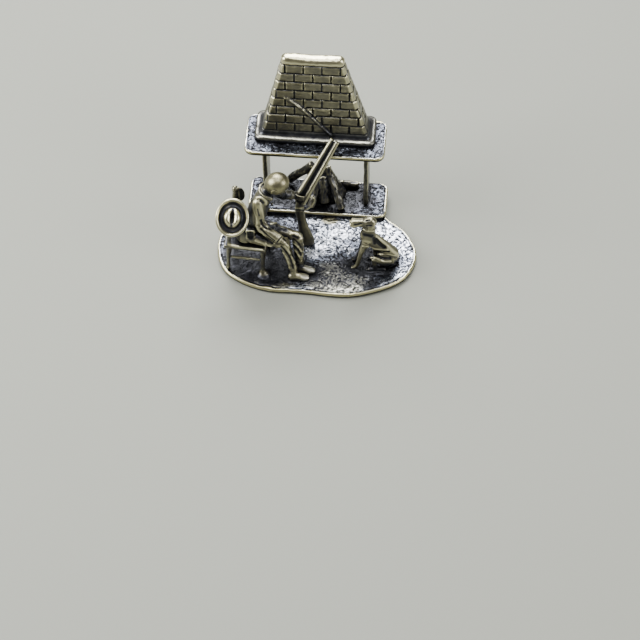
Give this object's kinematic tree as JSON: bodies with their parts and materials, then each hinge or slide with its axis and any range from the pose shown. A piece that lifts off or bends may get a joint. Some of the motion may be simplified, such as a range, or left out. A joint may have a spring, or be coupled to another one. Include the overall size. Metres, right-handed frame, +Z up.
{
  "type": "hunter with dog figurine",
  "caption": "Cast silver miniature: a hunter seated on a chair by a brick fireplace, a hand on his shotgun, with a dog sitting on the same plinth.",
  "frame": {"origin": "middle of the footprint's bounding box, on the surface that the base plate rests on", "axes": "+Z up; +X along the fireplace's front to the viewer's right; +Y from the front of the base towards the fireplace's back"},
  "size_m": [0.0392, 0.0288, 0.0412],
  "materials": {
    "textured_silver": "hammered and chiselled sterling silver, oxidised in the hollows and polished on the high spots",
    "plain_silver": "satin sterling silver with a grey oxide film",
    "brick_silver": "polished sterling silver bricks with blackened joints",
    "blackened_silver": "sterling silver with a heavy black oxide",
    "oxidised_silver": "dark oxidised sterling silver, bright on its edges",
    "polished_silver": "cast sterling silver, polished, with oxide left in the folds"
  },
  "bodies": {
    "root": {"base_plate": "textured_silver", "hearth_slab": "textured_silver", "mantle_slab": "textured_silver", "side_plate_left": "plain_silver", "side_plate_right": "plain_silver", "chimney_hood": "brick_silver", "fire_logs": "blackened_silver", "chair": "oxidised_silver", "hat": "oxidised_silver", "hunter": "polished_silver", "shotgun": "polished_silver", "dog": "polished_silver"}
  },
  "joints": []
}
